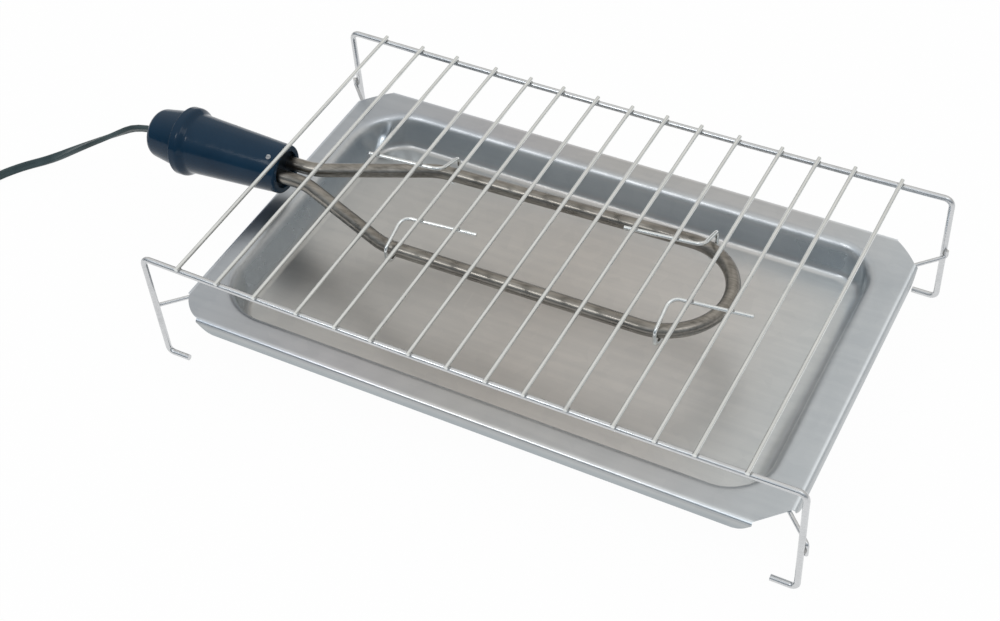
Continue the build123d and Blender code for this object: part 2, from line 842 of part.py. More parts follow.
# Measures of the cord: bend radii, volumes against section times length, and the coil's own gap
cord_section = pi * cord_diameter**2 / 4
with BuildLine() as cord_line:
    FilletPolyline(*cord_route, radius=cord_radii)
print("cord bend radii", [round(radius, 1) for radius in cord_radii])
for name, tube, line in (("cord", power_cord, cord_line.wire()), ("coil", cord_coil, coil_wire)):
    volume_share = tube.part.volume / (cord_section * line.length)
    print(name, "length", round(line.length, 1), "volume share", round(volume_share, 4))
sample_count = 800
samples = [coil_wire @ (index / sample_count) for index in range(sample_count + 1)]
least_apart = int(sample_count / (2 * coil_turns))
coil_clear = min(
    (samples[later] - samples[early]).length
    for early in range(sample_count)
    for later in range(early + least_apart, sample_count + 1)
)
print("coil's least gap to itself", round(coil_clear - cord_diameter, 3))
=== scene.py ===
"""Looks of the electric grill: camera, cord, pressed tray, welds, finishes, floor and light.

Metres, in the frame of the CAD part: +X runs from the handle to the element's loop, +Y to the rear, +Z up.
"""

import json
from math import atan2, cos, exp, pi, radians, sin, sqrt, tan

import bmesh
import bpy
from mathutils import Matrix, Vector, noise


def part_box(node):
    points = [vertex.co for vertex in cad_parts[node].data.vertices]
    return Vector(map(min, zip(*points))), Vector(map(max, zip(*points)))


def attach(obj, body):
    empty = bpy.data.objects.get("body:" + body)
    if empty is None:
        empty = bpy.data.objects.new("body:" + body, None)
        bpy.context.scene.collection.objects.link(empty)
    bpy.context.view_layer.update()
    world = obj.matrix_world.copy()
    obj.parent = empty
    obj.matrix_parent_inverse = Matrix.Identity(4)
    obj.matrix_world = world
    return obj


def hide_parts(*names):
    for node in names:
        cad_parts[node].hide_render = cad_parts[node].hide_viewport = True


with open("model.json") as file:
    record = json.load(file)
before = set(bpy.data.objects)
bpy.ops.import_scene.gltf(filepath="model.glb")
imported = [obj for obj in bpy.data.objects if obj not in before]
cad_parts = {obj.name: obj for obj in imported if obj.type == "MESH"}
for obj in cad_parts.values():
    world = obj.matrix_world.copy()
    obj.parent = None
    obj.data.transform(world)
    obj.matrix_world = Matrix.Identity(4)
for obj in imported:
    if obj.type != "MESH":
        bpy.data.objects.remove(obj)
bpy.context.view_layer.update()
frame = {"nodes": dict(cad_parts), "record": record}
nodes = frame["nodes"]
scene = bpy.context.scene

# Camera, fitted to the photograph
camera_place = (0.38808, -0.63669, 0.76635)
camera_angles_deg = (44.030, 3.476, 27.816)
camera_lens = 60.03
camera_near = 0.01

# Cord, a flat twin flex: the route's points, each with the turn of the broad side there from level,
# then the coil's turns by the same rule as the CAD part
cord_diameter = 0.005
cord_width = 0.0061
cord_gripped_width = 0.0049
cord_thickness_share = 0.56
cord_groove_share = 0.4
cord_route = [
    ((-0.2340, -0.0057, 0.0677), 70),
    ((-0.2610, -0.0064, 0.0705), 70),
    ((-0.2920, -0.0078, 0.0510), 20),
    ((-0.3230, -0.0088, 0.0312), 0),
    ((-0.3540, -0.0115, 0.0112), -45),
    ((-0.3760, -0.0210, 0.0040), -60),
    ((-0.3880, -0.0390, 0.0034), -60),
    ((-0.3930, -0.0600, 0.0037), -60),
    ((-0.3930, -0.0800, 0.0037), -60),
]
coil_turn_deg = -60
coil_radius = 0.035
coil_pitch = 0.0056
coil_turns = 5.5
coil_climb_turns = 0.5
coil_lead = 0.012
coil_points_per_turn = 24
cord_profile_points = 36
cord_resolution = 6

# Drip tray, pressed from sheet
sheet = 0.0006
corner_cut = 0.0185
corner_cut_powers = (2.0, 1.75, 1.8, 1.35)
lip_height = 0.009
lip_taper = 0.007
lip_corner = 0.004
fold_radius = 0.0021
left_rim = 0.0155
right_rim = 0.023
side_rim = 0.018
left_lean = 0.0105
right_lean = 0.003
side_lean = 0.006
left_corner = 0.038
right_corner = 0.028
floor_corner = 0.022
rim_bend = 0.0065
floor_bend = 0.005
right_floor_bend = 0.012
floor_crown = 0.0007
floor_wave = 0.00025
rim_wave = 0.00012
wave_length = 0.11
rim_wave_seed = 0
floor_wave_seed = 5
floor_wave_growth = 3
pucker_depth = 0.0008
puckers_per_corner = 2.5
pucker_seed = Vector((10, 0.5, 0.5))
creased_corner = 2
crease_height = 0.0040
crease_start_share = 0.16
crease_place_share = 0.42
crease_drift_share = 0.55
crease_width_share = 0.04

# Steps of the tray's mesh, the angle of its sharp edges, and the distance within which points merge
side_steps = (44, 26)
corner_steps = 64
rim_steps = 6
rim_bend_steps = 7
wall_steps = 18
floor_bend_steps = 9
floor_steps = 14
fold_steps = 5
lip_steps = 9
tray_sharp_deg = 40
merge_distance = 0.000001

# Plug relief, with ribs round its cone
relief_ribs = 7
relief_groove = 0.0007
relief_small_share = 0.64
relief_sides = 32
relief_rows_per_rib = 8
relief_sharp_deg = 50

# Weld nuggets where the wires cross, and where the supports' ends lie along the legs. The hooks' shanks
# are turned from the rack's length.
nugget_size = (0.0021, 0.0016, 0.0009)
leg_nugget_size = (0.0017, 0.0017, 0.0030)
leg_weld_shares = {"front": 0.32, "rear": 0.82}
support_wire = 0.0026
hook_turn_deg = 5.5
nugget_subdivisions = 3
nugget_lump_share = 0.18
nugget_lump_scale = 1.6
nugget_seed_step = 3.1

# Textures: features per metre, stretch along each axis and depth of relief, and the plastics' shine
along_x = (0.05, 1, 1)
along_y = (1, 0.05, 1)
all_ways = (1, 1, 1)
wire_streaks = 900
wire_clouds = 60
wire_relief = 0.000008
tray_crystals = 110
tray_streaks = 220
tray_streak_stretch = (0.06, 1, 1)
tray_streak_relief = 0.00002
tray_smears = 14
tray_smear_stretch = (0.6, 1, 1)
tray_dents = 18
tray_dent_relief = 0.0004
oxide_patches = 42
oxide_scales = 700
oxide_scale_stretch = (0.12, 1, 1)
oxide_relief = 0.00003
plastic_clouds = 35
plastic_scuffs = 260
plastic_scuff_stretch = (1, 0.15, 1)
plastic_grain = 1500
plastic_relief = 0.00002
plastic_shine = 0.2
cord_grain = 2400
cord_relief = 0.00005
powder_grain = 2500
powder_relief = 0.00005

# Bands of the tray's painted light and of its wear: shares of its height, and distances from its edge in fold
# radii
floor_share = 0.08
foot_share = 0.12
floor_end_share = 0.13
wall_low_share = 0.28
wall_high_share = 0.72
brink_share = 0.86
rim_start_share = 0.90
rim_share = 0.985
lip_band = 0.25
fold_band = 0.5
plain_band = 1.5

# Sockets of a Mix node that mixes colours
mix_share = 0
mix_first = 6
mix_second = 7
mix_result = 2

# Floor and light
floor_size = 40.0
floor_white_share = 0.97
floor_paint = (0.9, 0.9, 0.9, 1)
sky_turn = 0.35
key_energy = 3.5
key_size = 0.4
key_place = (-0.65, -1.2, 1.5)
fill_energy = 3.0
fill_size = 0.8
fill_place = (0.9, -0.5, 1.8)


def add_object(name, data):
    """A new object in the scene."""
    made = bpy.data.objects.new(name, data)
    scene.collection.objects.link(made)
    return made


def mesh_object(name, faces, points):
    """A new object from points and faces."""
    mesh = bpy.data.meshes.new(name)
    mesh.from_pydata([tuple(point) for point in points], [], faces)
    return add_object(name, mesh)


# Camera
camera = add_object("camera", bpy.data.cameras.new("camera"))
camera.data.lens = camera_lens
camera.location = camera_place
camera.rotation_euler = [radians(angle) for angle in camera_angles_deg]
camera.data.clip_start = camera_near
scene.camera = camera
scene.view_settings.view_transform = "Standard"

# Cord
coil_entry = Vector(cord_route[-1][0])
coil_middle = coil_entry - Vector((coil_radius, cord_diameter, 0))


def coil_point(turn):
    """Place on the coil after this many turns, clockwise: in on the lower layer, out on the upper."""
    radius = coil_radius - coil_pitch * min(turn, coil_turns - turn)
    climbed = min(max((turn - coil_turns / 2) / coil_climb_turns + 1 / 2, 0), 1)
    rise = coil_pitch * climbed**2 * (3 - 2 * climbed)
    turned = 2 * pi * turn
    return coil_middle + Vector((radius * cos(turned), -radius * sin(turned), rise))


def cord_points():
    """The cord's control points from the cap to its plug, each with the turn of its broad side."""
    steps = int(coil_turns * coil_points_per_turn)
    turns = [coil_point(step / coil_points_per_turn) for step in range(steps + 1)]
    turns.append(turns[-1] + Vector((0, coil_lead, 0)))
    return cord_route + [(point, coil_turn_deg) for point in turns]


def cord_profile():
    """The cord's section with its two lobes, one unit from middle to edge, hidden from the picture."""
    curve = bpy.data.curves.new("cord_profile", "CURVE")
    curve.dimensions = "2D"
    ring = curve.splines.new("POLY")
    ring.points.add(cord_profile_points - 1)
    for index, point in enumerate(ring.points):
        turned = -2 * pi * index / cord_profile_points
        lobes = sin(turned) * (1 + cord_groove_share * cos(2 * turned))
        point.co = (cos(turned), cord_thickness_share * lobes / sin(pi / 4), 0, 1)
    ring.use_cyclic_u = True
    profile = add_object("cord_profile", curve)
    profile.hide_render = True
    return profile


def make_cord():
    """The cord as one spline, narrower where the cap grips it."""
    curve = bpy.data.curves.new("mains_cord", "CURVE")
    curve.dimensions = "3D"
    curve.twist_mode = "Z_UP"
    curve.bevel_mode = "OBJECT"
    curve.bevel_object = cord_profile()
    curve.resolution_u = cord_resolution
    curve.use_fill_caps = True
    points = cord_points()
    spline = curve.splines.new("NURBS")
    spline.points.add(len(points) - 1)
    for control, (point, turned) in zip(spline.points, points):
        control.co = (*point, 1)
        control.tilt = radians(turned)
        control.radius = cord_width / 2
    spline.points[0].radius = cord_gripped_width / 2
    spline.order_u = 3
    spline.use_endpoint_u = True
    return add_object("mains_cord", curve)


def make_relief():
    """The plug's relief along +Y: a cone with grooves between its ribs, closed at both ends."""
    low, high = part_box("plug_relief")
    middle = (low + high) / 2
    large = (high.x - low.x) / 2
    small = large * relief_small_share
    around = relief_sides
    rows = relief_rows_per_rib * relief_ribs
    points = []
    for row in range(rows + 1):
        share = row / rows
        groove = relief_groove * sqrt(max(0, -cos(2 * pi * relief_ribs * share)))
        radius = small + (large - small) * share - groove
        for step in range(around):
            turned = 2 * pi * step / around
            y = low.y + (high.y - low.y) * share
            points.append((middle.x + radius * cos(turned), y, middle.z + radius * sin(turned)))
    faces = [tuple(range(around)), tuple(reversed(range(rows * around, (rows + 1) * around)))]
    for row in range(rows):
        for step in range(around):
            here, beside = row * around + step, row * around + (step + 1) % around
            faces.append((here, here + around, beside + around, beside))
    relief = mesh_object("plug_relief_ribbed", faces, points)
    relief.data.shade_smooth()
    relief.data.set_sharp_from_angle(angle=radians(relief_sharp_deg))
    return relief


plug_relief = make_relief()
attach(plug_relief, "element")
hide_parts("plug_relief")

mains_cord = make_cord()
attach(mains_cord, "element")
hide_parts("power_cord", "cord_coil")

# Drip tray
tray_low, tray_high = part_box("drip_tray")
tray_middle = (tray_low + tray_high) / 2
rim_z = tray_high.z
floor_depth = rim_z - tray_low.z - sheet
half_length = (tray_high.x - tray_low.x) / 2
half_width = (tray_high.y - tray_low.y) / 2


def outline(half_x, half_y, corners, powers=(1, 1, 1, 1)):
    """Points round a rectangle, each with its turn from the front: power 1 rounds a corner, 2 cuts it off."""
    points = []
    for turn, (along, across, steps) in enumerate(
        [(half_x, half_y, side_steps[0]), (half_y, half_x, side_steps[1])] * 2
    ):
        way = Vector((cos(turn * pi / 2), sin(turn * pi / 2)))
        out = Vector((way.y, -way.x))
        start, end = corners[turn - 1] - along, along - corners[turn]
        for step in range(steps):
            points.append((way * (start + (end - start) * step / steps) + out * across, turn))
        middle = way * end + out * (across - corners[turn])
        for step in range(corner_steps):
            share = step / corner_steps
            bend = out * cos(share * pi / 2) ** powers[turn] + way * sin(share * pi / 2) ** powers[turn]
            points.append((middle + bend * corners[turn], turn + share))
    return points


def basin_profile(lean, foot_bend):
    """Insets from the basin's opening and depths below the rim, down a wall and over its foot's bend."""
    slope = atan2(lean, floor_depth)
    rows = []
    rim_inset = -rim_bend * (1 - sin(slope)) / cos(slope)
    for step in range(rim_bend_steps + 1):
        turned = (pi / 2 - slope) * step / rim_bend_steps
        rows.append((rim_inset + rim_bend * sin(turned), rim_bend * (1 - cos(turned))))
    foot_height = floor_depth - foot_bend
    foot_inset = (foot_bend + foot_height * sin(slope)) / cos(slope)
    foot = []
    for step in range(floor_bend_steps + 1):
        turned = slope + (pi / 2 - slope) * step / floor_bend_steps
        foot.append((foot_inset - foot_bend * cos(turned), foot_height + foot_bend * sin(turned)))
    top, bottom = rows[-1], foot[0]
    for step in range(1, wall_steps):
        share = step / wall_steps
        rows.append((top[0] + (bottom[0] - top[0]) * share, top[1] + (bottom[1] - top[1]) * share))
    return rows + foot


def wave(x, y, seed):
    """A gentle waviness between -1 and 1."""
    return noise.noise(Vector((x / wave_length, y / wave_length, seed)))


def corner_push(turn, depth):
    """How far a corner of the basin is pushed out of true: soft puckers, and a crease in one corner."""
    corner, share = int(turn), turn % 1
    down = min(depth / floor_depth, 1)
    shift = noise.noise(pucker_seed + Vector((corner, 0, 0)))
    phase = 2 * pi * (puckers_per_corner * share + shift)
    push = pucker_depth * sin(pi * down) ** 2 * sin(pi * share) * sin(phase)
    if corner == creased_corner:
        aside = (share - crease_place_share - crease_drift_share * down * down) / crease_width_share
        below = max(0, (down - crease_start_share) / (1 - crease_start_share))
        push -= crease_height * sin(pi * below) * exp(-aside * aside)
    return push


def basin_row(left, right, side):
    """Closed row of points round the basin at these insets and depths of its ends and sides."""
    corners = []
    for (inset, _), lean, corner in ((left, left_lean, left_corner), (right, right_lean, right_corner)):
        shrink = (floor_corner - corner + (lean + side_lean) / 2) * side[1] / floor_depth
        corners.append(corner + shrink - (inset + side[0]) / 2)
    left_reach = half_length - left_rim - left[0]
    right_reach = half_length - right_rim - right[0]
    shift = Vector(((right_reach - left_reach) / 2, 0))
    row = []
    half = (left_reach + right_reach) / 2
    turns = (corners[1], corners[1], corners[0], corners[0])
    for point, turn in outline(half, half_width - side_rim - side[0], turns):
        end = right if turn < 2 else left
        depth = side[1] + (end[1] - side[1]) * sin(turn * pi / 2) ** 2
        push = corner_push(turn, depth) if turn % 1 else 0
        row.append(Vector((*(point + shift + point.normalized() * push), -depth)))
    return row


def tray_rings():
    """Closed rows of points over the tray's upper face, from the rim's fold to the floor's middle."""
    cuts = [corner_cut - fold_radius] * 4
    edge = outline(half_length - fold_radius, half_width - fold_radius, cuts, corner_cut_powers)
    walls = ((left_lean, floor_bend), (right_lean, right_floor_bend), (side_lean, floor_bend))
    profiles = list(zip(*[basin_profile(lean, bend) for lean, bend in walls]))
    brink = basin_row(*profiles[0])
    rings = []
    for step in range(rim_steps):
        share = step / rim_steps
        ring = []
        for (outer, _), inner in zip(edge, brink):
            x, y = outer.lerp(inner.xy, share)
            lift = rim_wave * (1 + wave(x, y, rim_wave_seed)) * sin(pi * share)
            ring.append(Vector((x, y, lift)))
        rings.append(ring)
    rings += [basin_row(*rows) for rows in profiles]
    floor_edge = rings[-1]
    half_x = max(point.x for point in floor_edge)
    half_y = max(point.y for point in floor_edge)
    spine = half_x - half_y
    for step in range(1, floor_steps + 1):
        share = step / floor_steps
        ring = []
        for point in floor_edge:
            spine_x = max(-spine, min(spine, point.x * spine / half_x))
            x = point.x + (spine_x - point.x) * share
            y = point.y * (1 - share)
            crown = (1 - (x / half_x) ** 2) * (1 - (y / half_y) ** 2)
            waviness = wave(x, y, floor_wave_seed) * min(1, floor_wave_growth * share)
            lift = floor_crown * crown + floor_wave * waviness
            ring.append(Vector((x, y, lift - floor_depth)))
        rings.append(ring)
    return rings


def lip_rows(edge_run, out):
    """Rows of points from a straight rim edge over the fold and down the lip, tapered at both ends."""
    middle = (edge_run[0] + edge_run[-1]) / 2
    half = (edge_run[-1] - edge_run[0]).length / 2
    rows = []
    for step in range(1, fold_steps + 1):
        turned = pi / 2 * step / fold_steps
        shift = out * fold_radius * sin(turned) - Vector((0, 0, fold_radius * (1 - cos(turned))))
        rows.append([point + shift for point in edge_run])
    for step in range(1, lip_steps + 1):
        share = step / lip_steps
        depth = fold_radius + (lip_height - fold_radius) * share
        cut = lip_taper * share
        into_corner = depth - (lip_height - lip_corner)
        if into_corner > 0:
            cut += lip_corner - sqrt(max(0, lip_corner**2 - into_corner**2))
        squeeze = (half - cut) / half
        shift = out * fold_radius - Vector((0, 0, depth))
        rows.append([middle + (point - middle) * squeeze + shift for point in edge_run])
    return rows


def make_tray():
    """The tray as one sheet with its thickness."""
    rings = tray_rings()
    count = len(rings[0])
    points = [point for ring in rings for point in ring]
    faces = []
    for row in range(len(rings) - 1):
        for column in range(count):
            here, beside = row * count + column, row * count + (column + 1) % count
            faces.append((here, beside, beside + count, here + count))
    start = 0
    for turn in range(4):
        steps = side_steps[turn % 2]
        run = [(start + step) % count for step in range(steps + 1)]
        out = Vector((sin(turn * pi / 2), -cos(turn * pi / 2), 0))
        above = run
        for row in lip_rows([points[index] for index in run], out):
            below = list(range(len(points), len(points) + len(row)))
            points.extend(row)
            for step in range(steps):
                faces.append((above[step + 1], above[step], below[step], below[step + 1]))
            above = below
        start += steps + corner_steps
    place = Vector((tray_middle.x, tray_middle.y, rim_z))
    tray = mesh_object("tray_sheet", faces, [point + place for point in points])
    shell = bmesh.new()
    shell.from_mesh(tray.data)
    bmesh.ops.remove_doubles(shell, verts=shell.verts, dist=merge_distance)
    bmesh.ops.recalc_face_normals(shell, faces=shell.faces)
    largest = max(shell.faces, key=lambda face: face.calc_area())
    if largest.normal.z < 0:
        bmesh.ops.reverse_faces(shell, faces=shell.faces)
    bmesh.ops.solidify(shell, geom=shell.faces, thickness=sheet)
    shell.to_mesh(tray.data)
    shell.free()
    tray.data.shade_smooth()
    tray.data.set_sharp_from_angle(angle=radians(tray_sharp_deg))
    return tray


tray_sheet = make_tray()
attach(tray_sheet, "tray")
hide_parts("drip_tray")


# Weld nuggets
def leg_weld_places():
    """Where each end of a tray support touches its leg, at a share of the support's height."""
    places = []
    for end in ("left", "right"):
        low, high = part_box(f"tray_support_{end}")
        tail_x = low.x + support_wire / 2 if end == "left" else high.x - support_wire / 2
        for side, height_share in leg_weld_shares.items():
            rail_low, rail_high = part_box(f"{side}_rail")
            rail_radius = (rail_high.y - rail_low.y) / 2
            leg_x = rail_low.x + rail_radius if end == "left" else rail_high.x - rail_radius
            tail_y = low.y + support_wire / 2 if side == "front" else high.y - support_wire / 2
            leg = Vector((leg_x, rail_low.y + rail_radius))
            touch = leg.lerp(Vector((tail_x, tail_y)), rail_radius / (rail_radius + support_wire / 2))
            places.append((*touch, low.z + height_share * (high.z - low.z)))
    return places


def weld_places():
    """Middle of each joint between two wires that cross in the rack."""
    places = []
    rails = [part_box("front_rail"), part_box("rear_rail")]
    bars = [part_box(name) for name in sorted(nodes) if name.startswith("cross_wire_")]
    for low, high in bars:
        for rail_low, rail_high in rails:
            places.append(((low.x + high.x) / 2, (rail_low.y + rail_high.y) / 2, low.z))
    for side in ("front", "rear"):
        for end in ("left", "right"):
            low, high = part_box(f"hook_{side}_{end}")
            radius = (bars[0][1].z - bars[0][0].z) / 2
            far_x, far_y = (high.x, high.y - radius) if side == "front" else (low.x, low.y + radius)
            for bar_low, bar_high in bars:
                middle = (bar_low.x + bar_high.x) / 2
                if low.x + 2 * radius < middle < high.x - 2 * radius:
                    shank_y = far_y + (middle - far_x) * tan(radians(hook_turn_deg))
                    places.append((middle, shank_y, bar_low.z))
    return places


def make_nuggets():
    """All weld nuggets as one piece, each a squashed lump of its own shape."""
    lumps = bmesh.new()
    welds = [(place, nugget_size) for place in weld_places()]
    welds += [(place, leg_nugget_size) for place in leg_weld_places()]
    for index, (place, size) in enumerate(welds):
        seed = Vector((index * nugget_seed_step, 0, 0))
        made = bmesh.ops.create_icosphere(lumps, subdivisions=nugget_subdivisions, radius=1)
        for vertex in made["verts"]:
            rough = 1 + nugget_lump_share * noise.noise(vertex.co * nugget_lump_scale + seed)
            vertex.co = vertex.co * Vector(size) * rough + Vector(place)
    mesh = bpy.data.meshes.new("weld_nuggets")
    lumps.to_mesh(mesh)
    lumps.free()
    mesh.shade_smooth()
    return add_object("weld_nuggets", mesh)


weld_nuggets = make_nuggets()
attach(weld_nuggets, "rack")


# Finishes
def grey(level):
    """A grey of this level."""
    return (level, level, level)


def fill_ramp(ramp, stops):
    """Give a colour ramp its places and colours."""
    elements = ramp.color_ramp.elements
    anywhere = 0.5
    while len(elements) < len(stops):
        elements.new(anywhere)
    for element, (place, colour) in zip(elements, stops):
        element.position = place
        element.color = (*colour, 1)


class Finish:
    """A node material around one Principled shader, with helpers for its textures."""

    def __init__(self, name):
        """A new material with this name."""
        self.material = bpy.data.materials.new(name)
        self.material.use_nodes = True
        self.tree = self.material.node_tree
        self.shader = self.tree.nodes["Principled BSDF"]
        self.coords = self.tree.nodes.new("ShaderNodeTexCoord").outputs["Object"]

    def link(self, source, target):
        """Join an output to an input."""
        self.tree.links.new(source, target)

    def noise(self, scale, stretch=all_ways, detail=3.0, roughness=0.5):
        """Noise with this many features per metre, and a stretch for each axis."""
        mapping = self.tree.nodes.new("ShaderNodeMapping")
        mapping.inputs["Scale"].default_value = stretch
        self.link(self.coords, mapping.inputs["Vector"])
        texture = self.tree.nodes.new("ShaderNodeTexNoise")
        texture.inputs["Scale"].default_value = scale
        texture.inputs["Detail"].default_value = detail
        texture.inputs["Roughness"].default_value = roughness
        self.link(mapping.outputs["Vector"], texture.inputs["Vector"])
        return texture.outputs["Fac"]

    def cells(self, scale):
        """A grey of its own for each irregular cell."""
        texture = self.tree.nodes.new("ShaderNodeTexVoronoi")
        texture.inputs["Scale"].default_value = scale
        self.link(self.coords, texture.inputs["Vector"])
        split = self.tree.nodes.new("ShaderNodeSeparateColor")
        self.link(texture.outputs["Color"], split.inputs["Color"])
        return split.outputs["Red"]

    def ramp(self, source, stops):
        """Colours spread over a grey texture."""
        node = self.tree.nodes.new("ShaderNodeValToRGB")
        fill_ramp(node, stops)
        self.link(source, node.inputs["Fac"])
        return node.outputs["Color"]

    def spread(self, source, low, high, start=0.3, end=0.7):
        """A grey texture spread from low to high."""
        node = self.tree.nodes.new("ShaderNodeMapRange")
        for socket, value in zip(node.inputs[1:5], (start, end, low, high)):
            socket.default_value = value
        self.link(source, node.inputs["Value"])
        return node.outputs["Result"]

    def blend(self, first, second, share, kind="MIX"):
        """Two colours mixed, or multiplied, by a fixed or textured share."""
        node = self.tree.nodes.new("ShaderNodeMix")
        node.data_type = "RGBA"
        node.blend_type = kind
        if isinstance(share, float):
            node.inputs[mix_share].default_value = share
        else:
            self.link(share, node.inputs[mix_share])
        self.link(first, node.inputs[mix_first])
        self.link(second, node.inputs[mix_second])
        return node.outputs[mix_result]

    def add(self, first, second):
        """Two grey textures added."""
        node = self.tree.nodes.new("ShaderNodeMath")
        self.link(first, node.inputs[0])
        self.link(second, node.inputs[1])
        return node.outputs[0]

    def places(self, low, high):
        """Greys from 0 to 1 along the three axes of the box between two corners."""
        split = self.tree.nodes.new("ShaderNodeSeparateXYZ")
        self.link(self.coords, split.inputs[0])
        ends = zip("XYZ", low, high)
        return [self.spread(split.outputs[axis], 0, 1, start, end) for axis, start, end in ends]

    def bump(self, height, depth, strength=1.0):
        """Relief of this depth in metres, chained after any relief before it."""
        node = self.tree.nodes.new("ShaderNodeBump")
        node.inputs["Strength"].default_value = strength
        node.inputs["Distance"].default_value = depth
        self.link(height, node.inputs["Height"])
        normal = self.shader.inputs["Normal"]
        if normal.is_linked:
            self.link(normal.links[0].from_socket, node.inputs["Normal"])
        self.link(node.outputs["Normal"], normal)

    def set(self, name, value):
        """Give an input of the shader a fixed value."""
        self.shader.inputs[name].default_value = value

    def colour(self, source):
        """Take the shader's colour from a texture."""
        self.link(source, self.shader.inputs["Base Color"])

    def rough(self, source):
        """Take the shader's roughness from a texture."""
        self.link(source, self.shader.inputs["Roughness"])


def wire_metal(name, dark, light, rough, stretch):
    """Plated wire with drawing streaks along it and dull specks."""
    finish = Finish(name)
    finish.set("Metallic", 1.0)
    streaks = finish.noise(wire_streaks, stretch, detail=4)
    cloud = finish.noise(wire_clouds, detail=4)
    tone = finish.ramp(streaks, [(0.25, dark), (0.75, light)])
    dull = finish.ramp(cloud, [(0.3, light), (0.62, light), (0.8, dark)])
    finish.colour(finish.blend(tone, dull, share=0.5))
    finish.rough(finish.spread(cloud, low=rough - 0.07, high=rough + 0.1))
    finish.bump(streaks, wire_relief, strength=0.4)
    return finish.material


def tray_colour(finish, streaks, along, across, height):
    """Crystals and streaks, plus painted light: reflections by height and place, highlit folds, shaded lips.
    """
    # Painted light by height: the floor a little darker and warmer, the foot and walls brighter and bluer,
    # the brink brightest and the rim a little bluer, standing in for reflections and highlights.
    floor_reflection_tint = (0.985, 0.96, 0.93)
    foot_painted_highlight = (1.16, 1.17, 1.18)
    wall_painted_reflection = (1.10, 1.18, 1.24)
    brink_painted_highlight = (1.36, 1.40, 1.42)
    rim_reflection_tint = (0.95, 0.985, 1.03)
    # Painted shade darkens the lips and a painted highlight brightens the folds; the plain value leaves the
    # rest unchanged.
    lip_painted_shade = (0.66, 0.67, 0.67)
    fold_painted_highlight = grey(1.8)
    plain_shade = grey(1.0)
    painted_light_by_height = [
        (floor_share, floor_reflection_tint),
        (foot_share, foot_painted_highlight),
        (wall_low_share, wall_painted_reflection),
        (wall_high_share, wall_painted_reflection),
        (brink_share, brink_painted_highlight),
        (rim_share, rim_reflection_tint),
    ]
    # Painted light along the floor: darker and cooler at the handle's end, brighter and bluer at the loop's
    # end, standing in for reflections.
    floor_painted_light_along = [
        (0.10, (0.92, 0.95, 0.97)),
        (0.50, (0.99, 0.98, 0.97)),
        (0.75, (1.10, 1.11, 1.12)),
        (0.93, (1.10, 1.19, 1.26)),
    ]
    # Painted light along the rim: darker and cooler at the handle's end, brighter and bluer at the loop's
    # end, standing in for reflections.
    rim_painted_light_along = [
        (0.02, (0.83, 0.86, 0.89)),
        (0.30, (0.90, 0.875, 0.87)),
        (0.50, (0.91, 0.885, 0.85)),
        (0.80, (0.975, 0.965, 0.95)),
        (0.97, (1.03, 1.065, 1.08)),
    ]
    crystals = finish.cells(tray_crystals)
    tone = finish.ramp(crystals, [(0.0, grey(0.515)), (1.0, (0.565, 0.56, 0.555))])
    streak = finish.ramp(streaks, [(0.3, grey(0.505)), (0.7, (0.58, 0.575, 0.565))])
    # The painted light by height multiplies the crystals and streaks.
    tint = finish.ramp(height, painted_light_by_height)
    colour = finish.blend(finish.blend(tone, streak, share=0.55), tint, 1.0, "MULTIPLY")
    # Painted light along the length, kept to the floor and to the rim.
    on_floor = finish.spread(height, low=1.0, high=0.0, start=floor_share, end=floor_end_share)
    on_rim = finish.spread(height, low=0.0, high=1.0, start=rim_start_share, end=rim_share)
    for tones, share in ((floor_painted_light_along, on_floor), (rim_painted_light_along, on_rim)):
        colour = finish.blend(colour, finish.ramp(along, tones), share, "MULTIPLY")
    # Painted shade on the lips and painted highlights along the folds, in bands from each edge.
    for place, length in ((along, 2 * half_length), (across, 2 * half_width)):
        lip, fold, plain = [band * fold_radius / length for band in (lip_band, fold_band, plain_band)]
        painted_edge_light = [
            (lip, lip_painted_shade),
            (fold, fold_painted_highlight),
            (plain, plain_shade),
            (1 - plain, plain_shade),
            (1 - fold, fold_painted_highlight),
            (1 - lip, lip_painted_shade),
        ]
        colour = finish.blend(colour, finish.ramp(place, painted_edge_light), 1.0, "MULTIPLY")
    return colour


def tray_metal():
    """Galvanised sheet: faint crystals, rolling streaks and smears, shallow dents, and wear by height."""
    wear = [
        (floor_share, grey(0.12)),
        (wall_low_share, grey(0.04)),
        (wall_high_share, grey(0.04)),
        (brink_share, grey(0.14)),
        (rim_share, grey(0.08)),
    ]
    finish = Finish("tray_metal")
    finish.set("Metallic", 1.0)
    along, across, height = finish.places(tray_low, tray_high)
    streaks = finish.noise(tray_streaks, tray_streak_stretch, detail=5)
    smears = finish.noise(tray_smears, tray_smear_stretch, detail=5, roughness=0.6)
    finish.colour(tray_colour(finish, streaks, along, across, height))
    finish.rough(finish.add(finish.spread(smears, low=0.20, high=0.30), finish.ramp(height, wear)))
    finish.bump(finish.noise(tray_dents, detail=2), tray_dent_relief, strength=0.6)
    finish.bump(streaks, tray_streak_relief, strength=0.5)
    return finish.material


def element_metal():
    """Heat-browned tube: straw to dark brown oxide in patches, with a scaly skin."""
    finish = Finish("element_metal")
    finish.set("Metallic", 1.0)
    patches = finish.noise(oxide_patches, detail=5, roughness=0.6)
    scales = finish.noise(oxide_scales, oxide_scale_stretch, detail=4)
    oxide = finish.ramp(
        patches,
        [(0.28, (0.11, 0.102, 0.088)), (0.48, (0.22, 0.205, 0.180)), (0.68, (0.36, 0.340, 0.302))],
    )
    skin = finish.ramp(scales, [(0.3, (0.14, 0.13, 0.118)), (0.7, (0.46, 0.43, 0.395))])
    finish.colour(finish.blend(oxide, skin, share=0.35))
    finish.rough(finish.spread(patches, low=0.24, high=0.36))
    finish.bump(scales, oxide_relief, strength=0.3)
    return finish.material


